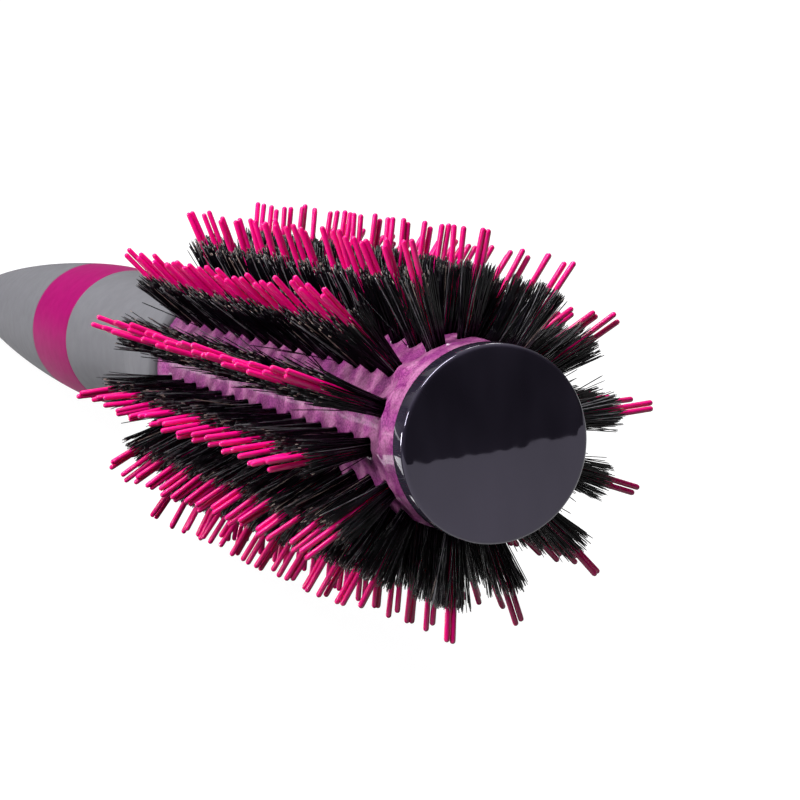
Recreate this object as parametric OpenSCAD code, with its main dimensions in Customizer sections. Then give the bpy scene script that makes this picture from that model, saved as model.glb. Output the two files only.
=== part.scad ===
// Round hair brush: fluted barrel with 14 rows of bristle and pin tufts, flat end cap
// and a sleeved handle. The brush axis is +Y, with the cap face at the origin facing -Y.

/* [Barrel] */
// Crest radius of the fluted barrel, which is also the cap's radius
barrel_r = 12.5; // [11:0.1:14]
// Distance from the cap face to the rear end of the barrel
barrel_end = 102; // [100:0.5:110]
// How far the smooth end rings lie below the crests
ring_drop = 0.3; // [0.2:0.05:0.5]
// Depth of each flute below the crests
flute_depth = 0.65; // [0.5:0.05:0.8]
// Radius of the round cutter that leaves a flute
flute_cut_r = 9; // [8:0.5:10]

/* [Tufts] */
// Number of tuft rows round the barrel (even, since neighbours are staggered)
row_count = 14; // [14]
// Number of tufts along a row
tufts_per_row = 15; // [10:1:15]
// Distance from one tuft to the next along a row
tuft_pitch = 5.93; // [5.7:0.01:5.93]
// Distance from the cap face to the first tuft of an even row
first_tuft = 10; // [10:0.1:10.5]
// Diameter of a tuft hole
hole_d = 2.7; // [2.6:0.05:2.9]
// Radius from the brush axis to the bottom of a tuft hole
hole_floor_r = 6.5; // [6.5:0.1:7]
// Radius from the brush axis to the tips of the boar bristles
boar_tip_r = 22.5; // [20:0.5:24]
// Radius from the brush axis to the tips of the nylon pins
pin_tip_r = 26.5; // [25:0.5:28]
// Diameter of one nylon pin
pin_d = 0.76; // [0.6:0.02:0.8]

/* [Cap] */
// Thickness of the end cap
cap_t = 3.2; // [3:0.1:4]
// Radius of the rounding round the cap's face
cap_round = 0.7; // [0.3:0.1:1]

/* [Handle] */
// Radius of the collar that meets the barrel
collar_r = 13.3; // [13:0.1:14]
// Radius of the waist behind the collar
waist_r = 10.4; // [10:0.1:11]
// Largest radius of the grip
grip_r = 11.95; // [11.5:0.05:12.4]
// Distance from the cap face to the butt
brush_len = 258; // [250:1:270]
// Distance from the cap face to the front edge of the accent ring
accent_start = 156.5; // [150:0.5:160]
// Distance from the cap face to the rear edge of the accent ring
accent_end = 179; // [175:0.5:185]

/* [Hidden] */
$fn = 64;
fit_gap = 0.03;                               // radial gap of a pressed or glued fit
row_step = 360 / row_count;
ring_r = barrel_r - ring_drop;
crest_start = cap_t + 5.4;                    // crests begin and end at a smooth ring
crest_end = barrel_end - 3;
crest_ramp = 1.2;
flute_centre = barrel_r - flute_depth + flute_cut_r;
flute_inset = 0.5;                            // from the ends of the crests to those of the flutes
dish_depth = 0.6;                             // shallow dish round each hole
dish_w = 1.2;                                 // how far the dish cutter widens
tuft_gap = 0.05;                              // gap between a tuft and its hole

socket_r = 7;                                 // pocket in the barrel's front end
socket_end = 8.2;
washer_t = 1;
tang_r = 4;                                   // tang of the handle core
tang_start = 62;
insert_r = 3;
insert_len = 14;
screw_r = 2;
screw_head_r = 4.2;
screw_head_start = 4.4;
screw_socket_r = 2;
screw_socket_depth = 1.6;

seal_t = 0.4;                                 // black ring between barrel and handle
handle_start = barrel_end + seal_t;
collar_bevel = 0.6;
collar_end = 107.5;
waist_at = 130;
grip_at = 166;
core_r = 8;
core_step = 200;
core_tail_r = 5.5;
core_end = 232;
butt_r = 3.39;                                // ball-shaped end of the handle
butt_at = brush_len - 2.7;                    // the taper runs into the ball here
outline_step = 2;                             // spacing of the handle outline's points

staple = [0.35, 2.4, 1.2];                    // thickness, width and height of an anchor
boar_floor_r = hole_floor_r + staple[2] + 0.2;
boar_hollow_r = 0.98;
boar_tip_hollow_r = 1.5;
boar_tip_outer_r = 2.7;
pin_floor_r = boar_floor_r + 0.1;
pin_offset = 0.42;
pin_splay = 1;
pin_fold_r = 0.86;
pin_fold_h = 0.6;

ROWS = [for (k = [0 : row_count - 1]) k];

// --- Placement ------------------------------------------------------------------------

// Pieces are drawn along +Z from the cap face, then laid along +Y.
module lay_along_y() { rotate([-90, 0, 0]) children(); }

// A row's angle, counted from straight up towards -X.
function row_angle(k) = (k + 0.5) * row_step;
function tuft_at(k, i) = first_tuft + (k % 2) * tuft_pitch / 2 + i * tuft_pitch;

// Turns a shape drawn along +Z so that it stands out along row k at tuft i.
module at_tuft(k, i)
    rotate([0, 0, 270 - row_angle(k)])
        translate([0, 0, tuft_at(k, i)])
            rotate([0, 90, 0])
                children();

module each_tuft(k)
    for (i = [0 : tufts_per_row - 1])
        at_tuft(k, i) children();

module tube(outer, inner, start, end)
    translate([0, 0, start])
        difference() {
            cylinder(r = outer, h = end - start);
            translate([0, 0, -1]) cylinder(r = inner, h = end - start + 2);
        }

// --- Barrel and cap -------------------------------------------------------------------

module barrel_blank()
    rotate_extrude()
        polygon([
            [0, cap_t], [ring_r, cap_t],
            [ring_r, crest_start - crest_ramp], [barrel_r, crest_start],
            [barrel_r, crest_end], [ring_r, crest_end + crest_ramp],
            [ring_r, barrel_end], [0, barrel_end]
        ]);

// A flute lies between two rows and stops short of the smooth end rings.
module flute_cutter(k)
    rotate([0, 0, 270 - k * row_step])
        translate([flute_centre, 0, crest_start + flute_inset])
            cylinder(r = flute_cut_r, h = crest_end - crest_start - 2 * flute_inset);

module hole_cutter()
    rotate_extrude()
        polygon([
            [0, hole_floor_r], [hole_d / 2, hole_floor_r],
            [hole_d / 2, barrel_r - dish_depth],
            [hole_d / 2 + dish_w, barrel_r + 0.3], [0, barrel_r + 0.3]
        ]);

module barrel_bores() {
    translate([0, 0, cap_t - 1]) cylinder(r = socket_r, h = socket_end - cap_t + 1);
    translate([0, 0, cap_t]) cylinder(r = screw_r + 0.3, h = barrel_end - cap_t);
    translate([0, 0, tang_start]) cylinder(r = tang_r + fit_gap, h = barrel_end);
}

module barrel()
    color([0.62, 0.3, 0.55])
        lay_along_y()
            difference() {
                barrel_blank();
                for (k = ROWS) flute_cutter(k);
                for (k = ROWS) each_tuft(k) hole_cutter();
                barrel_bores();
            }

// A face with a rounded edge, and a hollow spigot that presses into the barrel.
module end_cap()
    color([0.03, 0.03, 0.04])
        lay_along_y() {
            rotate_extrude()
                polygon(concat(
                    [[0, 0]],
                    [for (a = [0 : 15 : 90])
                        [barrel_r - cap_round * (1 - sin(a)), cap_round * (1 - cos(a))]],
                    [[barrel_r, cap_t], [0, cap_t]]
                ));
            tube(socket_r - fit_gap, socket_r - 1.6, cap_t - 0.5, socket_end - washer_t - 0.2);
        }

// --- What holds the barrel to the handle ------------------------------------------------

module tie_screw()
    color([0.7, 0.7, 0.72])
        lay_along_y() {
            head_end = socket_end - washer_t;
            difference() {
                translate([0, 0, screw_head_start])
                    cylinder(r = screw_head_r, h = head_end - screw_head_start);
                translate([0, 0, screw_head_start - 1])
                    cylinder(r = screw_socket_r, h = screw_socket_depth + 1, $fn = 6);
            }
            translate([0, 0, head_end - 0.2])
                cylinder(r = screw_r, h = tang_start + insert_len - head_end);
        }

module screw_washer()
    color([0.75, 0.75, 0.77])
        lay_along_y() tube(5, screw_r + 0.2, socket_end - washer_t, socket_end);

module threaded_insert()
    color([0.8, 0.65, 0.3])
        lay_along_y() tube(insert_r, screw_r, tang_start, tang_start + insert_len);

module handle_core()
    color([0.2, 0.2, 0.22])
        lay_along_y()
            difference() {
                union() {
                    translate([0, 0, tang_start])
                        cylinder(r = tang_r, h = handle_start + 2 - tang_start);
                    translate([0, 0, handle_start + 2])
                        cylinder(r = core_r - fit_gap, h = core_step - handle_start - 2);
                    translate([0, 0, core_step])
                        cylinder(r = core_tail_r - fit_gap, h = core_end - core_step);
                }
                translate([0, 0, tang_start - 1]) cylinder(r = insert_r, h = insert_len + 1);
            }

// --- Handle -----------------------------------------------------------------------------

// Smooth step from 0 to 1 as s goes from 0 to 1.
function ease(s) = (1 - cos(180 * s)) / 2;

// Outer radius of the handle: collar, waist, grip, then a long taper with a ball-shaped butt.
function handle_r(z) =
    z < collar_end ? collar_r :
    z < waist_at ? collar_r + (waist_r - collar_r) * ease((z - collar_end) / (waist_at - collar_end)) :
    z < grip_at ? waist_r + (grip_r - waist_r) * ease((z - waist_at) / (grip_at - waist_at)) :
    z < butt_at ? grip_r * pow(1 - pow((z - grip_at) / (brush_len - grip_at + 6), 1.45), 0.62) :
    sqrt(max(0, pow(butt_r, 2) - pow(z - (brush_len - butt_r), 2)));

// Points along the outline, with both ends exact.
function outline(start, end) =
    let (steps = ceil((end - start) / outline_step))
        [for (i = [0 : steps]) let (z = start + (end - start) * i / steps) [handle_r(z), z]];

module front_sleeve()
    color([0.6, 0.6, 0.62])
        lay_along_y()
            difference() {
                rotate_extrude()
                    polygon(concat(
                        [[0, handle_start], [collar_r - collar_bevel, handle_start],
                         [collar_r, handle_start + collar_bevel]],
                        outline(collar_end, accent_start),
                        [[0, accent_start]]
                    ));
                translate([0, 0, handle_start - 1]) cylinder(r = tang_r + fit_gap, h = 4);
                translate([0, 0, handle_start + 2]) cylinder(r = core_r, h = brush_len);
            }

module accent_ring()
    color([0.7, 0.05, 0.35])
        lay_along_y()
            difference() {
                rotate_extrude()
                    polygon(concat(
                        [[0, accent_start]],
                        outline(accent_start, accent_end),
                        [[0, accent_end]]
                    ));
                translate([0, 0, accent_start - 1]) cylinder(r = core_r, h = brush_len);
            }

// The butt is closed and its outline gets finer towards the tip.
module rear_grip()
    color([0.6, 0.6, 0.62])
        lay_along_y()
            difference() {
                tip_start = brush_len - 6;
                rotate_extrude()
                    polygon(concat(
                        [[0, accent_end]],
                        outline(accent_end, tip_start),
                        [for (i = [1 : 12])
                            let (z = brush_len - 6 * pow(1 - i / 12, 2))
                                [i == 12 ? 0 : handle_r(z), z]]
                    ));
                translate([0, 0, accent_end - 1])
                    cylinder(r = core_r, h = core_step - accent_end + 1);
                translate([0, 0, core_step - 0.5])
                    cylinder(r = core_tail_r, h = core_end - core_step + 0.5);
            }

module seal_ring()
    color([0.05, 0.05, 0.06])
        lay_along_y() tube(ring_r - 0.1, tang_r + fit_gap, barrel_end, handle_start);

// --- Tufts ------------------------------------------------------------------------------

// One flat metal anchor at the floor of every hole.
module anchor_staples()
    color([0.75, 0.75, 0.77])
        lay_along_y()
            for (k = ROWS)
                each_tuft(k)
                    translate([-staple[0] / 2, -staple[1] / 2, hole_floor_r])
                        cube(staple);

// A tuft of boar bristle: packed in its hole, then fanning out, hollow for the pins.
module boar_tuft()
    rotate_extrude()
        polygon([
            [boar_hollow_r, boar_floor_r],
            [hole_d / 2 - tuft_gap, boar_floor_r],
            [hole_d / 2 - tuft_gap, barrel_r - dish_depth],
            [boar_tip_outer_r, boar_tip_r - 1],
            [boar_tip_hollow_r + 0.4, boar_tip_r],
            [boar_tip_hollow_r, boar_tip_r],
            [boar_hollow_r, barrel_r]
        ]);

module boar_row(k)
    color([0.05, 0.04, 0.06])
        lay_along_y() each_tuft(k) boar_tuft();

// One nylon pin with a chamfered tip, drawn along +Z from its fold.
module pin() {
    pin_len = pin_tip_r - pin_floor_r;
    rotate_extrude()
        polygon([
            [0, 0], [pin_d / 2, 0], [pin_d / 2, pin_len - 0.3], [pin_d / 4, pin_len], [0, pin_len]
        ]);
}

// A folded filament gives two pins, side by side across the row, that meet at the anchor.
module pin_tuft()
    translate([0, 0, pin_floor_r]) {
        cylinder(r = pin_fold_r, h = pin_fold_h);
        for (a = [90, 270])
            rotate([0, 0, a]) translate([pin_offset, 0, 0]) rotate([0, pin_splay, 0]) pin();
    }

module pin_row(k)
    color([0.88, 0, 0.42])
        lay_along_y() each_tuft(k) pin_tuft();

barrel();
end_cap();
tie_screw();
screw_washer();
threaded_insert();
handle_core();
seal_ring();
front_sleeve();
accent_ring();
rear_grip();
anchor_staples();
for (k = ROWS) {
    row_name = str(k < 9 ? "0" : "", k + 1);
    boar_row(k);
    pin_row(k);
}
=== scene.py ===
"""Looks for the round barrel brush: skins for the barrel, cap and handle, and loose bristles
and nylon pins, on a pale floor.

The brush axis is +Y from the cap's face, and every length is in metres. Outer sizes come from
the frame's boxes; the tuft layout and the handle's outline are the part's own figures.
"""
import math

import bpy
import numpy as np
from mathutils import Matrix, Vector

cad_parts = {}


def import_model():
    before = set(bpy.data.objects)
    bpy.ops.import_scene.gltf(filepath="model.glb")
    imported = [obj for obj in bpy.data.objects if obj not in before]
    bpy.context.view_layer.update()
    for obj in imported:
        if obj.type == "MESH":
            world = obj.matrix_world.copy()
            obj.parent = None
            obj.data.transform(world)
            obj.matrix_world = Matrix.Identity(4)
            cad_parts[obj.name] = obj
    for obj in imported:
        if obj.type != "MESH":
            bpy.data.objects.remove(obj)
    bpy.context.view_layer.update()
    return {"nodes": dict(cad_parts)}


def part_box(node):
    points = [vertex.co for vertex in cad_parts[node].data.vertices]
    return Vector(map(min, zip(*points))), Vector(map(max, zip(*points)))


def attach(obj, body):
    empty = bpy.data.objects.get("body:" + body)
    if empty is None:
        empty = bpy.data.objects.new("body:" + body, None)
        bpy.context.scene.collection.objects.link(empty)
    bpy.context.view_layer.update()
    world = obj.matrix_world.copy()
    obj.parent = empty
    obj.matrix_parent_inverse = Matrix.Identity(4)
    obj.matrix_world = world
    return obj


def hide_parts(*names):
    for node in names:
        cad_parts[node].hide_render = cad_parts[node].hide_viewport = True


MM = 0.001
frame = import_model()
BODY = "root"

# --- Sizes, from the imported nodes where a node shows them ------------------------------

ROWS = len([n for n in frame["nodes"] if n.startswith("boar_row_")])
ROW_STEP = 2 * math.pi / ROWS
TUFTS = 15
PITCH = 5.93 * MM
FIRST_TUFT = 10 * MM
HOLE_R = 1.35 * MM
BARREL_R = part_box("barrel")[1].x
BARREL_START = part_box("barrel")[0].y
BARREL_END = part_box("barrel")[1].y
CAP_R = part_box("end_cap")[1].x
SLEEVE_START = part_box("front_sleeve")[0].y
ACCENT_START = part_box("accent_ring")[0].y
ACCENT_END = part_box("accent_ring")[1].y
COLLAR_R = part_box("front_sleeve")[1].x
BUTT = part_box("rear_grip")[1].y
BOAR_TIP_R = 22.5 * MM
PIN_TIP_R = 26.35 * MM


# --- Mesh helpers ----------------------------------------------------------------------

def mesh_object(name, verts, faces, materials, face_material=None):
    """A smooth mesh object from points, equal-sized faces in arrays, and its materials."""
    mesh = bpy.data.meshes.new(name)
    groups = faces if isinstance(faces, list) else [faces]
    groups = [np.asarray(g, np.int32) for g in groups if len(g)]
    loops = np.concatenate([g.ravel() for g in groups])
    sizes = np.concatenate([np.full(len(g), g.shape[1], np.int32) for g in groups])
    mesh.vertices.add(len(verts))
    mesh.vertices.foreach_set("co", np.asarray(verts, np.float32).ravel())
    mesh.loops.add(len(loops))
    mesh.loops.foreach_set("vertex_index", loops)
    mesh.polygons.add(len(sizes))
    mesh.polygons.foreach_set("loop_start", (np.cumsum(sizes) - sizes).astype(np.int32))
    mesh.polygons.foreach_set("loop_total", sizes)
    mesh.polygons.foreach_set("use_smooth", np.ones(len(sizes), bool))
    if face_material is not None:
        mesh.polygons.foreach_set("material_index", np.asarray(face_material, np.int32))
    mesh.update(calc_edges=True)
    mesh.validate()
    for material in materials:
        mesh.materials.append(material)
    made = bpy.data.objects.new(name, mesh)
    bpy.context.scene.collection.objects.link(made)
    return made


def stand_for(piece, slot_name, *nodes):
    """The piece rides with the brush and stands for its CAD nodes, which it hides."""
    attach(piece, BODY)
    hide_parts(*nodes)
    return piece


def polar(r, angle, y):
    """Points from a radius, an angle (from straight up towards -X) and a place along the brush."""
    r, angle, y = np.broadcast_arrays(r, angle, y)
    return np.stack([-r * np.sin(angle), y, r * np.cos(angle)], -1)


def grid_faces(rows, columns, wrap_rows=False, wrap_columns=True):
    """Quads over a grid of points, numbered row by row."""
    i = np.arange(rows if wrap_rows else rows - 1)[:, None]
    j = np.arange(columns if wrap_columns else columns - 1)[None, :]
    i2, j2 = (i + 1) % rows, (j + 1) % columns
    quad = [i * columns + j, i * columns + j2, i2 * columns + j2, i2 * columns + j]
    return np.stack([np.broadcast_to(q, (i.size, j.size)) for q in quad], -1).reshape(-1, 4)


def lathe(name, outline, material, segments=160, closed=True):
    """A surface of revolution through (radius, y) points, outside going towards +Y."""
    outline = np.asarray(outline, float)
    angles = np.arange(segments) * 2 * math.pi / segments
    verts = polar(outline[:, :1], angles[None, :], outline[:, 1:]).reshape(-1, 3)
    quads = grid_faces(len(outline), segments, wrap_rows=closed)[:, ::-1]
    if closed:
        return mesh_object(name, verts, quads, [material])
    first = np.arange(segments)[None, :]
    last = (np.arange(segments)[::-1] + (len(outline) - 1) * segments)[None, :]
    return mesh_object(name, verts, [quads, first, last], [material])


# --- Materials -------------------------------------------------------------------------

def material(name, **sockets):
    """A material with its Principled shader's constant sockets set."""
    made = bpy.data.materials.new(name)
    made.use_nodes = True
    shader = made.node_tree.nodes["Principled BSDF"]
    for key, value in sockets.items():
        shader.inputs[key.replace("_", " ")].default_value = value
    return made, made.node_tree, shader


def noise(tree, scale, detail=3.0, stretch=None):
    """A noise value over object coordinates; scale is in waves a metre."""
    place = tree.nodes.new("ShaderNodeTexCoord")
    texture = tree.nodes.new("ShaderNodeTexNoise")
    texture.inputs["Scale"].default_value = scale
    texture.inputs["Detail"].default_value = detail
    source = place.outputs["Object"]
    if stretch:
        mapping = tree.nodes.new("ShaderNodeMapping")
        mapping.inputs["Scale"].default_value = stretch
        tree.links.new(source, mapping.inputs["Vector"])
        source = mapping.outputs["Vector"]
    tree.links.new(source, texture.inputs["Vector"])
    return texture.outputs["Fac"]


def ramp(tree, value, *stops):
    """A colour ramp over a value; each stop is (place, colour)."""
    node = tree.nodes.new("ShaderNodeValToRGB")
    while len(node.color_ramp.elements) < len(stops):
        node.color_ramp.elements.new(0.5)
    for element, (place, colour) in zip(node.color_ramp.elements, stops):
        element.position = place
        element.color = (*colour, 1)
    tree.links.new(value, node.inputs["Fac"])
    return node.outputs["Color"]


def blend_colours(tree, factor, first, second):
    """Two colours mixed by a fixed factor."""
    node = tree.nodes.new("ShaderNodeMix")
    node.data_type = "RGBA"
    node.inputs["Factor"].default_value = factor
    tree.links.new(first, node.inputs["A"])
    tree.links.new(second, node.inputs["B"])
    return node.outputs["Result"]


def values(tree, value, low, high):
    """A value from 0 to 1 mapped to low to high."""
    node = tree.nodes.new("ShaderNodeMapRange")
    node.inputs["To Min"].default_value = low
    node.inputs["To Max"].default_value = high
    tree.links.new(value, node.inputs["Value"])
    return node.outputs["Result"]


def bump(tree, shader, height, depth):
    """Bump of a depth in metres on the shader's normal."""
    node = tree.nodes.new("ShaderNodeBump")
    node.inputs["Distance"].default_value = depth
    tree.links.new(height, node.inputs["Height"])
    tree.links.new(node.outputs["Normal"], shader.inputs["Normal"])


def lacquer():
    """Glossy pink-purple lacquer with a fine pearl grain."""
    made, tree, shader = material(
        "lacquer", Coat_Weight=0.55, Coat_Roughness=0.03, Specular_IOR_Level=0.12)
    grain = ramp(tree, noise(tree, 3600, 2), (0.38, (0.10, 0.010, 0.07)), (0.62, (0.50, 0.14, 0.36)))
    cloud = ramp(
        tree, noise(tree, 330, 4),
        (0.42, (0.18, 0.002, 0.15)), (0.5, (0.26, 0.05, 0.19)), (0.60, (0.46, 0.18, 0.35)))
    tree.links.new(blend_colours(tree, 0.5, grain, cloud), shader.inputs["Base Color"])
    tree.links.new(values(tree, noise(tree, 900), 0.22, 0.42), shader.inputs["Roughness"])
    bump(tree, shader, noise(tree, 4200, 2), 0.012 * MM)
    return made


def gloss_black():
    """Polished black with the faint waves of a moulded face and a painted reflection mottle."""
    made, tree, shader = material("gloss_black", IOR=1.6, Specular_Tint=(0.80, 0.74, 0.96, 1.0))
    # Painted reflection: a stretched mottle of lighter and darker black in the base colour, as of
    # blotches mirrored in the face.
    painted_reflection_mottle = noise(tree, 70, 3, stretch=(1, 1, 0.4))
    base = ramp(tree, painted_reflection_mottle, (0.35, (0.010, 0.008, 0.015)), (0.65, (0.036, 0.030, 0.049)))
    tree.links.new(base, shader.inputs["Base Color"])
    tree.links.new(values(tree, noise(tree, 600), 0.0, 0.03), shader.inputs["Roughness"])
    bump(tree, shader, noise(tree, 150, 2), 0.010 * MM)
    return made


def satin(name, dark, light):
    """Soft-touch moulded plastic: a soft mottle, a fine grain and only a dull shine."""
    made, tree, shader = material(name, Specular_IOR_Level=0.06)
    base = ramp(tree, noise(tree, 400, 3), (0.3, dark), (0.7, light))
    tree.links.new(base, shader.inputs["Base Color"])
    tree.links.new(values(tree, noise(tree, 700), 0.50, 0.62), shader.inputs["Roughness"])
    bump(tree, shader, noise(tree, 6500, 2), 0.006 * MM)
    return made


def nylon():
    """Bright magenta nylon with a slight glow through it."""
    made, tree, shader = material(
        "nylon", Subsurface_Weight=0.4, Subsurface_Scale=0.5 * MM, Specular_IOR_Level=0.3)
    shader.inputs["Subsurface Radius"].default_value = (1.0, 0.2, 0.8)
    base = ramp(tree, noise(tree, 260, 2), (0.3, (0.72, 0.0, 0.17)), (0.7, (0.82, 0.0, 0.21)))
    tree.links.new(base, shader.inputs["Base Color"])
    tree.links.new(values(tree, noise(tree, 1500), 0.18, 0.30), shader.inputs["Roughness"])
    return made


def bristle(name, dark, light, roughness):
    """Natural bristle: streaks of tone from hair to hair."""
    made, tree, shader = material(name, Specular_IOR_Level=0.30)
    base = ramp(tree, noise(tree, 500, 3), (0.35, dark), (0.65, light))
    tree.links.new(base, shader.inputs["Base Color"])
    spread = values(tree, noise(tree, 300), roughness - 0.06, roughness + 0.10)
    tree.links.new(spread, shader.inputs["Roughness"])
    return made


def metal(name, dark, light, roughness):
    """Turned metal with a fine lengthwise grain."""
    made, tree, shader = material(name, Metallic=1.0)
    base = ramp(tree, noise(tree, 3000, 2, stretch=(1, 8, 1)), (0.3, dark), (0.7, light))
    tree.links.new(base, shader.inputs["Base Color"])
    spread = values(tree, noise(tree, 1800), roughness - 0.05, roughness + 0.1)
    tree.links.new(spread, shader.inputs["Roughness"])
    return made


LACQUER = lacquer()
BLACK = gloss_black()
GREY = satin("satin_grey", (0.114, 0.113, 0.124), (0.130, 0.129, 0.142))
MAGENTA = satin("satin_magenta", (0.21, 0.0, 0.076), (0.24, 0.0, 0.088))
SEAL = satin("seal_black", (0.004, 0.004, 0.005), (0.012, 0.012, 0.014))
CORE = satin("core_grey", (0.04, 0.04, 0.045), (0.06, 0.06, 0.065))
NYLON = nylon()
BOAR = bristle("boar_black", (0.0005, 0.0004, 0.001), (0.004, 0.0032, 0.006), 0.18)
BOAR_PALE = bristle("boar_pale", (0.10, 0.07, 0.06), (0.36, 0.28, 0.25), 0.42)
# Grey bristles: painted highlight streaks that stand in for the shine along black hair.
BOAR_PAINTED_SHEEN = bristle("boar_painted_sheen", (0.05, 0.05, 0.056), (0.18, 0.175, 0.19), 0.35)
STEEL = metal("steel", (0.45, 0.45, 0.47), (0.62, 0.62, 0.64), 0.25)
BRASS = metal("brass", (0.50, 0.34, 0.12), (0.66, 0.47, 0.19), 0.25)


# --- Barrel ----------------------------------------------------------------------------

RING_DROP = 0.3 * MM           # the smooth end rings lie this far below the crests
CREST_START = BARREL_START + 5.4 * MM
CREST_END = BARREL_END - 3 * MM
CREST_RAMP = 1.2 * MM
FLUTE_DEPTH = 0.65 * MM
FLUTE_CUT_R = 9 * MM
FLUTE_CENTRE = BARREL_R - FLUTE_DEPTH + FLUTE_CUT_R
ARCH_INSET = 2 * MM            # a flute's round end begins this far inside the crests
DISH_DEPTH = 0.6 * MM
DISH_CURVE_R = 2.9 * MM        # radius of the bowl-shaped dish round a hole
EDGE_SOFT = 0.14 * MM          # how far edges on the barrel are rounded
WALL_DEPTHS = (2.2, 0.68)      # mm below the crest: the ends of a hole's wall that are drawn
DISH_RINGS = (0.05, 0.25, 0.45, 0.65, 0.8, 0.95)  # mm out from a hole: mesh rings in its dish
CELL_SHARES = (0.35, 0.68, 1)  # mesh rings from the last dish ring to the cell's border
SIDE_STEPS = 12                # mesh steps along one tuft's cell; even, as rows are staggered
CROSS_STEPS = 10               # mesh steps across one row


def soft_min(a, b, k):
    """The lower of two heights, rounded where they meet."""
    h = np.clip(0.5 + 0.5 * (b - a) / k, 0, 1)
    return b + (a - b) * h - k * h * (1 - h)


def barrel_radius(offset, y):
    """Radius of the fluted barrel at an angle from a row's crest and a place along it."""
    rise = np.minimum(y - (CREST_START - CREST_RAMP), CREST_END + CREST_RAMP - y) / CREST_RAMP
    blank = BARREL_R - RING_DROP * (1 - np.clip(rise, 0, 1))
    from_flute = ROW_STEP / 2 - np.abs(offset)
    over = np.maximum(CREST_START + ARCH_INSET - y, y - (CREST_END - ARCH_INSET))
    reach = FLUTE_CUT_R ** 2 - np.maximum(over, 0) ** 2 - (FLUTE_CENTRE * np.sin(from_flute)) ** 2
    flute = FLUTE_CENTRE * np.cos(from_flute) - np.sqrt(np.maximum(reach, 0))
    return soft_min(blank, flute, 2 * EDGE_SOFT)


def dish_radius(distance):
    """Height of the dish round a hole, at a distance from the hole's axis."""
    rise = math.sqrt(DISH_CURVE_R ** 2 - HOLE_R ** 2) - math.sqrt(DISH_CURVE_R ** 2 - distance ** 2)
    return BARREL_R - DISH_DEPTH + rise


def cell_border():
    """Points round one tuft's cell, as angles across the row and lengths along it."""
    half_angle, half_pitch = ROW_STEP / 2, PITCH / 2
    along = np.linspace(-half_pitch, half_pitch, SIDE_STEPS + 1)[:-1]
    across = np.linspace(-half_angle, half_angle, CROSS_STEPS + 1)[:-1]
    sides = [
        np.stack([np.full(SIDE_STEPS, half_angle), along], -1),
        np.stack([-across, np.full(CROSS_STEPS, half_pitch)], -1),
        np.stack([np.full(SIDE_STEPS, -half_angle), -along], -1),
        np.stack([across, np.full(CROSS_STEPS, -half_pitch)], -1),
    ]
    return np.concatenate(sides)


def tuft_cell(row_angle, centre_y):
    """One tuft's patch of the barrel: hole wall, dish and fluted surround, as rings of points."""
    border = cell_border()
    u, v = border[:, 0] * BARREL_R, border[:, 1]
    bearing = np.arctan2(v, u)
    circle = np.stack([np.cos(bearing), np.sin(bearing)], -1)
    rings = []
    for depth in WALL_DEPTHS:
        p = circle * HOLE_R
        rings.append(polar(BARREL_R - depth * MM, row_angle + p[:, 0] / BARREL_R, centre_y + p[:, 1]))
    for distance in HOLE_R + np.array(DISH_RINGS) * MM:
        p = circle * distance
        surround = barrel_radius(p[:, 0] / BARREL_R, centre_y + p[:, 1])
        r = soft_min(surround, dish_radius(distance), EDGE_SOFT)
        rings.append(polar(r, row_angle + p[:, 0] / BARREL_R, centre_y + p[:, 1]))
    for share in CELL_SHARES:
        p = circle * (HOLE_R + DISH_RINGS[-1] * MM) * (1 - share) + np.stack([u, v], -1) * share
        r = barrel_radius(p[:, 0] / BARREL_R, centre_y + p[:, 1])
        rings.append(polar(r, row_angle + p[:, 0] / BARREL_R, centre_y + p[:, 1]))
    return np.concatenate(rings), len(border), len(rings)


def barrel_strip(row_angle, places):
    """A plain stretch of one row's width, from a list of places along the brush."""
    across = np.linspace(-ROW_STEP / 2, ROW_STEP / 2, CROSS_STEPS + 1)
    y = np.asarray(places)[:, None]
    verts = polar(barrel_radius(across[None, :], y), row_angle + across[None, :], y).reshape(-1, 3)
    return verts, grid_faces(len(places), len(across), wrap_columns=False)[:, ::-1]


def weld(verts, faces):
    """Joins points that lie at the same place."""
    keys = np.round(verts / (0.002 * MM)).astype(np.int64)
    _, first, back = np.unique(keys, axis=0, return_index=True, return_inverse=True)
    return verts[first], [back.ravel()[f] for f in faces]


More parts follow.
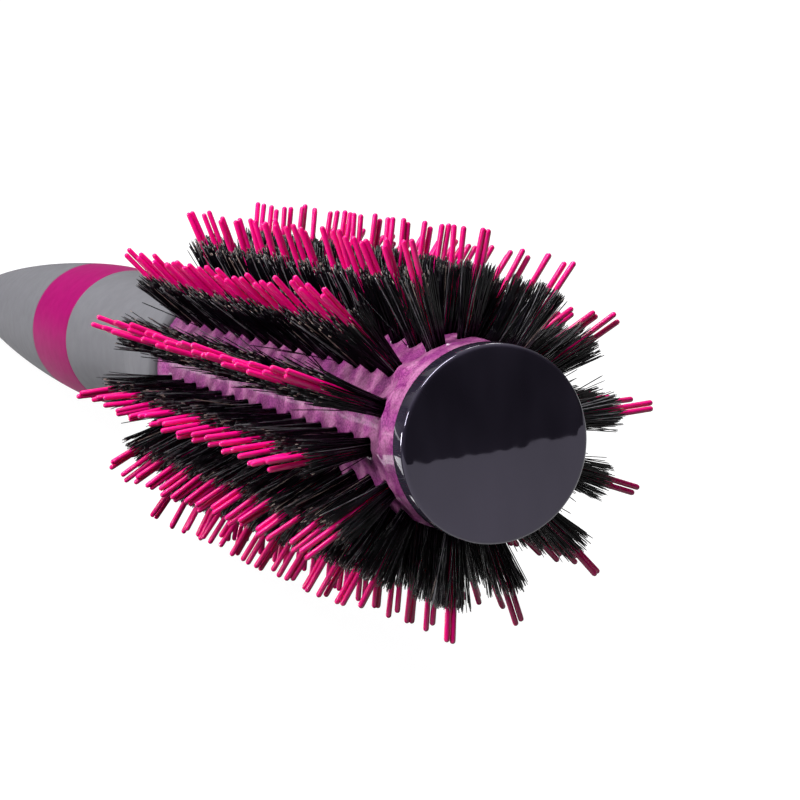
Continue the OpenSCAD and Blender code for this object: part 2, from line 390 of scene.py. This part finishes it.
def barrel():
    """The lacquered barrel as one closed surface: tuft cells, plain strips and two end faces."""
    verts, quads, floors, front_rim, back_rim, count = [], [], [], [], [], 0

    def add(points, faces, hole_floor=None):
        nonlocal count
        verts.append(points)
        quads.append(faces + count)
        if hole_floor is not None:
            floors.append(hole_floor + count)
        count += len(points)

    step = PITCH / SIDE_STEPS
    cells_start = FIRST_TUFT - PITCH / 2
    cells_end = cells_start + TUFTS * PITCH
    for k in range(ROWS):
        angle = (k + 0.5) * ROW_STEP
        shift = (k % 2) * PITCH / 2
        odd_steps = (k % 2) * SIDE_STEPS // 2
        front = list(np.linspace(BARREL_START, cells_start, 9))
        front += [cells_start + step * (i + 1) for i in range(odd_steps)]
        back = [cells_end + shift + step * i for i in range(SIDE_STEPS // 2 - odd_steps)]
        back += list(np.linspace(cells_end + PITCH / 2, BARREL_END, 8))
        front_rim.append(count + np.arange(CROSS_STEPS))
        add(*barrel_strip(angle, front))
        add(*barrel_strip(angle, back))
        back_rim.append(count - (CROSS_STEPS + 1) + np.arange(CROSS_STEPS))
        for i in range(TUFTS):
            points, ring, rings = tuft_cell(angle, FIRST_TUFT + shift + i * PITCH)
            add(points, grid_faces(rings, ring), np.arange(ring)[None, ::-1])
    ends = np.stack([np.concatenate(front_rim), np.concatenate(back_rim)[::-1]])
    faces = [np.concatenate(quads), np.concatenate(floors), ends]
    points, groups = weld(np.concatenate(verts), faces)
    skin = mesh_object("barrel_skin", points, groups, [LACQUER])
    for end in skin.data.polygons[-2:]:
        end.use_smooth = False
    return skin


# --- Cap and handle --------------------------------------------------------------------

def arc(centre_r, centre_y, radius, start, end, steps=8):
    """Points of a round corner, with angles from the radius direction towards +Y, in degrees."""
    turn = np.radians(np.linspace(start, end, steps))
    return [(centre_r + radius * math.cos(t), centre_y + radius * math.sin(t)) for t in turn]


def cap():
    """The end cap: flat face, rounded edge, glossy side and the plug behind it."""
    edge, back_edge = 0.55 * MM, 0.2 * MM
    plug_r, plug_end = 7 * MM, BARREL_START + 3.5 * MM
    outline = [(4 * MM, 0), (8 * MM, 0), (11 * MM, 0)]
    outline += arc(CAP_R - edge, edge, edge, -90, 0)
    outline += arc(CAP_R - back_edge, BARREL_START - back_edge, back_edge, 0, 90, 4)
    outline += [(plug_r, BARREL_START), (plug_r - 0.03 * MM, plug_end)]
    return lathe("cap_skin", outline, BLACK, segments=192, closed=False)


COLLAR_END = 107.5 * MM
WAIST_AT, WAIST_R = 130 * MM, 10.4 * MM
GRIP_AT, GRIP_R = 166 * MM, 11.95 * MM
BUTT_AT, BUTT_R = BUTT - 2.7 * MM, 3.39 * MM
CORE_R = 8 * MM
TANG_R = 4.2 * MM              # opening for the core's tang in the sleeve's front wall
SLEEVE_WALL = 2 * MM           # thickness of that wall
POLE_R = 0.02 * MM             # radius at which the butt's surface closes
SEAM = 0.18 * MM               # rounded edge where two handle pieces meet


def ease(s):
    """A smooth step from 0 to 1."""
    return (1 - math.cos(math.pi * s)) / 2


def handle_radius(y):
    """Outer radius of the handle: collar, waist, grip and a long taper with a ball-shaped butt."""
    if y < COLLAR_END:
        return COLLAR_R
    if y < WAIST_AT:
        return COLLAR_R + (WAIST_R - COLLAR_R) * ease((y - COLLAR_END) / (WAIST_AT - COLLAR_END))
    if y < GRIP_AT:
        return WAIST_R + (GRIP_R - WAIST_R) * ease((y - WAIST_AT) / (GRIP_AT - WAIST_AT))
    if y < BUTT_AT:
        return GRIP_R * (1 - ((y - GRIP_AT) / (BUTT - GRIP_AT + 6 * MM)) ** 1.45) ** 0.62
    return math.sqrt(max(0, BUTT_R ** 2 - (y - (BUTT - BUTT_R)) ** 2))


def sleeve_outline(start, end, steps):
    """The handle's outline between two places, with its edges rounded over."""
    body = [(handle_radius(y), y) for y in np.linspace(start + SEAM, end - SEAM, steps)]
    lead = arc(handle_radius(start) - SEAM, start + SEAM, SEAM, -90, -20, 4)
    tail = arc(handle_radius(end) - SEAM, end - SEAM, SEAM, 20, 90, 4)
    return lead + body + tail


def handle():
    """Front sleeve with a bevelled collar, accent ring, and rear grip with a closed butt."""
    bevel, tip = 0.75 * MM, 6 * MM
    inside = SLEEVE_START + SLEEVE_WALL
    sleeve = [
        (TANG_R, SLEEVE_START),
        (COLLAR_R - bevel - SEAM, SLEEVE_START),
        (COLLAR_R - bevel, SLEEVE_START + 0.03 * MM),
        (COLLAR_R - 0.1 * MM, SLEEVE_START + bevel * 0.8),
        (COLLAR_R, SLEEVE_START + bevel + 0.1 * MM),
    ]
    sleeve += sleeve_outline(inside, ACCENT_START, 90)[4:]
    sleeve += [(CORE_R, ACCENT_START), (CORE_R, inside), (TANG_R, inside)]
    band = sleeve_outline(ACCENT_START, ACCENT_END, 40)
    band += [(CORE_R, ACCENT_END), (CORE_R, ACCENT_START)]
    grip = [(CORE_R, ACCENT_END)] + sleeve_outline(ACCENT_END, BUTT - tip, 90)[:-4]
    for s in np.linspace(0.04, 1, 24):
        y = BUTT - tip * (1 - s) ** 2
        grip.append((max(handle_radius(y), POLE_R), y))
    stand_for(lathe("front_sleeve_skin", sleeve, GREY), "grey_grip", "front_sleeve")
    stand_for(lathe("accent_ring_skin", band, MAGENTA), "magenta_ring", "accent_ring")
    stand_for(lathe("rear_grip_skin", grip, GREY, closed=False), "grey_grip", "rear_grip")


# --- Tufts -----------------------------------------------------------------------------

def row_axes(k):
    """Row k's outward, crosswise and lengthwise directions."""
    angle = (k + 0.5) * ROW_STEP
    outward = np.array([-math.sin(angle), 0, math.cos(angle)])
    across = np.array([-math.cos(angle), 0, -math.sin(angle)])
    return outward, across, np.array([0.0, 1.0, 0.0])


def tuft_lean(i):
    """How far tuft i leans along the brush: the end tufts lean outwards."""
    front, back = math.exp(-i / 0.9), math.exp(-(TUFTS - 1 - i) / 0.9)
    return 0.14 * back - 0.10 * front


def tubes(lines, radii, sides):
    """Closed tubes along many lines: lines is (n, points, 3), radii is (n, points)."""
    count, points = lines.shape[:2]
    forward = lines[:, -1] - lines[:, 0]
    forward /= np.linalg.norm(forward, axis=1, keepdims=True)
    helper = np.where(np.abs(forward[:, 1:2]) < 0.8, [[0.0, 1.0, 0.0]], [[1.0, 0.0, 0.0]])
    side = np.cross(forward, helper)
    side /= np.linalg.norm(side, axis=1, keepdims=True)
    up = np.cross(forward, side)
    turn = np.arange(sides) * 2 * math.pi / sides
    ring = np.cos(turn)[:, None] * side[:, None, :] + np.sin(turn)[:, None] * up[:, None, :]
    verts = lines[:, :, None, :] + radii[:, :, None, None] * ring[:, None, :, :]
    base = (np.arange(count) * points * sides)[:, None, None]
    quads = (grid_faces(points, sides)[None] + base).reshape(-1, 4)
    start = (np.arange(sides)[::-1][None] + base[:, 0]).reshape(-1, sides)
    end = (np.arange(sides)[None] + (points - 1) * sides + base[:, 0]).reshape(-1, sides)
    return verts.reshape(-1, 3), [quads, start, end]


def centre_lines(k, root, lean, bend, length, start_r, steps):
    """Curved lines out of row k, with points at steps from 0 to 1.

    Root, lean and bend are (across, along) pairs; lean and bend are slopes.
    """
    outward, across, along = row_axes(k)
    s = np.asarray(steps)[None, :, None]
    reach = length[:, None, None] * s
    sideways = root[:, None, 0:1] + reach * (lean[:, None, 0:1] + bend[:, None, 0:1] * s)
    lengthways = root[:, None, 1:2] + reach * (lean[:, None, 1:2] + bend[:, None, 1:2] * s)
    return (start_r + reach) * outward + sideways * across + lengthways * along


HAIRS = 124                    # bristles in a tuft
PINS = 2                       # pins in a tuft
STRAY_SHARE = 0.012            # bristles that stick out of their tuft
PALE_SHARE = 0.015             # bristles that are pale all along
PALE_TIP_SHARE = 0.08          # bristles whose cut tip shows pale
SHEEN_STREAK_SHARE = 0.13              # bristles painted grey all along, as painted highlight streaks
ROOT_R = 1.12 * MM             # radius of a tuft's bundle in its hole
PIN_R = 0.38 * MM
HAIR_STEPS = [0, 0.33, 0.66, 0.96, 1]
HAIR_TAPER = [1.0, 1.0, 0.95, 0.85, 0.6]
HAIR_START_R = BARREL_R - 1.4 * MM
PIN_START_R = BARREL_R - 1.2 * MM


def boar_row(k):
    """One row of boar tufts: straight bristles that fan out, with ragged tips and some strays."""
    rng = np.random.default_rng(100 + k)
    n = TUFTS * HAIRS
    tuft = np.repeat(np.arange(TUFTS), HAIRS)
    centre = FIRST_TUFT + (k % 2) * PITCH / 2 + tuft * PITCH
    ring = np.sqrt(rng.uniform(0.20, 1, n))
    bearing = rng.uniform(0, 2 * math.pi, n)
    disc = np.stack([ring * np.cos(bearing), ring * np.sin(bearing)], -1)
    root = disc * ROOT_R
    root[:, 1] += centre
    stray = rng.random(n) < STRAY_SHARE
    lean = disc * [0.105, 0.15] + rng.normal(0, 0.028, (n, 2))
    lean += stray[:, None] * rng.normal(0, 0.24, (n, 2))
    lean[:, 1] += np.array([tuft_lean(i) for i in range(TUFTS)])[tuft]
    bend = rng.normal(0, 0.035, (n, 2))
    tuft_cut = rng.normal(0, 0.22 * MM, TUFTS)[tuft]
    tip_r = BOAR_TIP_R - 0.5 * MM + tuft_cut - np.abs(rng.normal(0, 0.75 * MM, n))
    tip_r += stray * rng.uniform(0, 1.4 * MM, n)
    length = (tip_r - HAIR_START_R) * np.cos(np.hypot(lean[:, 0], lean[:, 1]))
    lines = centre_lines(k, root, lean, bend, length, HAIR_START_R, HAIR_STEPS)
    thick = rng.uniform(0.068, 0.10, n)[:, None] * MM
    sides = 3
    verts, faces = tubes(lines, thick * np.array(HAIR_TAPER)[None, :], sides)
    shade = rng.random(n)
    # Tone 2 marks the bristles painted grey as highlight streaks.
    tone = np.where(shade < PALE_SHARE, 1, np.where(shade < PALE_SHARE + SHEEN_STREAK_SHARE, 2, 0))
    tip_tone = np.where(rng.random(n) < PALE_TIP_SHARE, 1, tone)
    wall = np.repeat(tone, len(faces[0]) // n).reshape(n, -1)
    wall[:, -sides:] = tip_tone[:, None]
    index = np.concatenate([wall.ravel(), tone, tip_tone])
    name = f"{k + 1:02d}"
    finishes = [BOAR, BOAR_PALE, BOAR_PAINTED_SHEEN]
    piece = mesh_object("boar_tufts_" + name, verts, faces, finishes, index)
    stand_for(piece, "boar_bristle", "boar_row_" + name)


def pin_row(k):
    """One row of nylon pins: round-tipped, of uneven length, and touching or a little apart."""
    rng = np.random.default_rng(500 + k)
    n = TUFTS * PINS
    tuft = np.repeat(np.arange(TUFTS), PINS)
    centre = FIRST_TUFT + (k % 2) * PITCH / 2 + tuft * PITCH
    twist = rng.normal(0, 0.8, TUFTS)[tuft]
    bearing = twist + (np.arange(n) % PINS) * 2 * math.pi / PINS
    spread = np.stack([np.cos(bearing), np.sin(bearing)], -1)
    root = spread * 0.40 * MM
    root[:, 1] += centre
    lean = spread * rng.uniform(-0.003, 0.011, (n, 1)) + rng.normal(0, 0.005, (n, 2))
    lean += rng.normal(0, 0.014, (TUFTS, 2))[tuft]
    lean[:, 1] += np.array([tuft_lean(i) for i in range(TUFTS)])[tuft]
    bend = rng.normal(0, 0.006, (n, 2)) + rng.normal(0, 0.015, (TUFTS, 2))[tuft]
    tip_r = PIN_TIP_R - rng.uniform(0, 0.5 * MM, TUFTS)[tuft] - np.abs(rng.normal(0, 0.55 * MM, n))
    length = (tip_r - PIN_START_R) * np.cos(np.hypot(lean[:, 0], lean[:, 1]))
    dome = np.radians([0, 30, 55, 75, 88])
    lines = centre_lines(k, root, lean, bend, length, PIN_START_R, np.linspace(0, 1, 6))
    end = lines[:, -1]
    tip_dir = end - lines[:, -2]
    tip_dir /= np.linalg.norm(tip_dir, axis=1, keepdims=True)
    tips = [end + tip_dir * PIN_R * math.sin(a) for a in dome]
    lines = np.concatenate([lines[:, :-1], np.stack(tips, 1)], 1)
    radii = np.array([PIN_R] * 5 + [PIN_R * math.cos(a) for a in dome])
    verts, faces = tubes(lines, np.repeat(radii[None, :], n, 0), 12)
    name = f"{k + 1:02d}"
    piece = mesh_object("nylon_pins_" + name, verts, faces, [NYLON])
    stand_for(piece, "nylon_pin", "pin_row_" + name)


# --- Floor, light and camera -------------------------------------------------------------

FLOOR_SLOPE = 0.13             # the brush rests on its last tufts and its butt, so its axis is tilted
FLOOR_AT_CAP = -38.6 * MM
FLOOR_GLOW, CARD_GLOW = 0.96, 2.2
FLOOR_NEAR, FLOOR_FAR, FLOOR_SIDE = -0.68, 1.2, 1.2
TUFTS_FROM_Y, HANDLE_FROM_Y, HANDLE_TO_Y, RIGHT_FROM_X = 0.02, 0.16, 0.33, 0.03


def floor():
    """A pale tabletop in the plane the brush rests on.

    The parts beside the tufts and behind the butt aren't mirrored in the brush.
    """
    made, tree, shader = material("pale_floor", Roughness=0.7)
    tone = ramp(tree, noise(tree, 3, 2), (0.3, (0.08, 0.08, 0.083)), (0.7, (0.10, 0.10, 0.103)))
    tree.links.new(tone, shader.inputs["Base Color"])
    shader.inputs["Emission Color"].default_value = (1, 1, 1, 1)
    shader.inputs["Emission Strength"].default_value = FLOOR_GLOW
    parts = {
        "floor_front": (-FLOOR_SIDE, FLOOR_SIDE, FLOOR_NEAR, TUFTS_FROM_Y),
        "floor_right": (RIGHT_FROM_X, FLOOR_SIDE, TUFTS_FROM_Y, FLOOR_FAR),
        "floor_tufts": (-FLOOR_SIDE, RIGHT_FROM_X, TUFTS_FROM_Y, HANDLE_FROM_Y),
        "floor_handle": (-FLOOR_SIDE, RIGHT_FROM_X, HANDLE_FROM_Y, HANDLE_TO_Y),
        "floor_back": (-FLOOR_SIDE, RIGHT_FROM_X, HANDLE_TO_Y, FLOOR_FAR),
    }
    for name, (left, right, near, far) in parts.items():
        corners = [(x, y, FLOOR_AT_CAP + FLOOR_SLOPE * y)
                   for x, y in ((left, near), (right, near), (right, far), (left, far))]
        tabletop = mesh_object(name, np.array(corners), np.array([[0, 1, 2, 3]]), [made])
        tabletop.visible_diffuse = False
        tabletop.visible_glossy = name not in ("floor_tufts", "floor_back")


def back_card():
    """A bright card low behind the brush, mirrored in the cap's side between the tufts."""
    made, _, shader = material("card_glow", Roughness=1.0)
    shader.inputs["Emission Color"].default_value = (1, 1, 1, 1)
    shader.inputs["Emission Strength"].default_value = CARD_GLOW
    outline = ((-0.22, -0.20), (0.0, -0.20), (0.0, -0.11), (-0.095, -0.02), (-0.22, -0.02))
    corners = [(x, 0.3, z) for x, z in outline]
    card = mesh_object("back_card", np.array(corners), np.array([[0, 1, 2, 3, 4]]), [made])
    card.visible_camera = card.visible_diffuse = False


def facing(tree, direction, start, end, low, high):
    """A light level that goes from low to high as a ray's direction turns towards a side."""
    place = tree.nodes.new("ShaderNodeTexCoord")
    dot = tree.nodes.new("ShaderNodeVectorMath")
    dot.operation = "DOT_PRODUCT"
    dot.inputs[1].default_value = Vector(direction).normalized()
    tree.links.new(place.outputs["Generated"], dot.inputs[0])
    level = tree.nodes.new("ShaderNodeMapRange")
    level.interpolation_type = "SMOOTHSTEP"
    for key, number in (("From Min", start), ("From Max", end), ("To Min", low), ("To Max", high)):
        level.inputs[key].default_value = number
    tree.links.new(dot.outputs["Value"], level.inputs["Value"])
    return level.outputs["Result"]


def world():
    """A white studio, brightest overhead and dark on the cap's side; the camera sees it plain white."""
    scene = bpy.context.scene
    scene.world = bpy.data.worlds.new("studio")
    scene.world.use_nodes = True
    tree = scene.world.node_tree
    background = tree.nodes["Background"]
    overhead = facing(tree, (-0.10, 0.05, 1.0), 0.2, 0.95, 0.08, 0.95)
    dark_side = facing(tree, (0.10, -0.97, 0.20), 0.0, 0.75, 1.0, 0.6)
    level = tree.nodes.new("ShaderNodeMath")
    level.operation = "MULTIPLY"
    tree.links.new(overhead, level.inputs[0])
    tree.links.new(dark_side, level.inputs[1])
    path = tree.nodes.new("ShaderNodeLightPath")
    shown = tree.nodes.new("ShaderNodeMath")
    shown.operation = "MAXIMUM"
    tree.links.new(path.outputs["Is Camera Ray"], shown.inputs[0])
    tree.links.new(level.outputs["Value"], shown.inputs[1])
    tree.links.new(shown.outputs["Value"], background.inputs["Strength"])
    background.inputs["Color"].default_value = (1, 1, 1, 1)


def softbox(name, place, target, width, height, power):
    """A rectangular area light that looks at a point."""
    light = bpy.data.lights.new(name, "AREA")
    light.shape = "RECTANGLE"
    light.size, light.size_y = width, height
    light.energy = power
    lamp = bpy.data.objects.new(name, light)
    lamp.location = place
    lamp.rotation_euler = (Vector(target) - Vector(place)).to_track_quat("-Z", "Y").to_euler()
    bpy.context.scene.collection.objects.link(lamp)


def camera():
    """A long lens in front of the cap, a little above and to its left."""
    forward = Vector((0.3523, 0.9238, -0.1500)).normalized()
    up = Vector((0.1505, 0.1023, 0.9833))
    right = forward.cross(up).normalized()
    up = right.cross(forward)
    lens = bpy.data.cameras.new("camera")
    lens.lens = 135
    lens.sensor_width = 36
    lens.clip_start = 0.01
    eye = bpy.data.objects.new("camera", lens)
    place = Matrix((right, up, -forward)).transposed().to_4x4()
    place.translation = Vector((-0.1402, -0.3362, 0.0620))
    eye.matrix_world = place
    bpy.context.scene.collection.objects.link(eye)
    bpy.context.scene.camera = eye


def paint_cad_nodes():
    """Materials for the CAD nodes that stay: the seal ring and the pieces inside."""
    finishes = {
        "seal_ring": SEAL, "handle_core": CORE, "threaded_insert": BRASS,
        "tie_screw": STEEL, "screw_washer": STEEL, "anchor_staples": STEEL,
    }
    for name, finish in finishes.items():
        mesh = frame["nodes"][name].data
        mesh.materials.clear()
        mesh.materials.append(finish)


camera()
floor()
back_card()
world()
softbox("key", (-0.20, -0.06, 0.56), (0, 0.04, 0), 0.13, 0.40, 5.0)
softbox("left_fill", (-0.55, -0.14, 0.24), (0, 0.05, 0), 0.12, 0.12, 1.8)
softbox("left_low", (-0.50, 0.38, 0.045), (0, 0.20, 0), 0.14, 0.10, 2.3)
softbox("back_rim", (0.25, 0.50, 0.42), (0, 0.08, 0), 0.20, 0.20, 0.9)
bpy.context.scene.view_settings.view_transform = "Standard"

stand_for(barrel(), "barrel_lacquer", "barrel")
stand_for(cap(), "black_gloss", "end_cap")
handle()
for row in range(ROWS):
    boar_row(row)
    pin_row(row)
paint_cad_nodes()
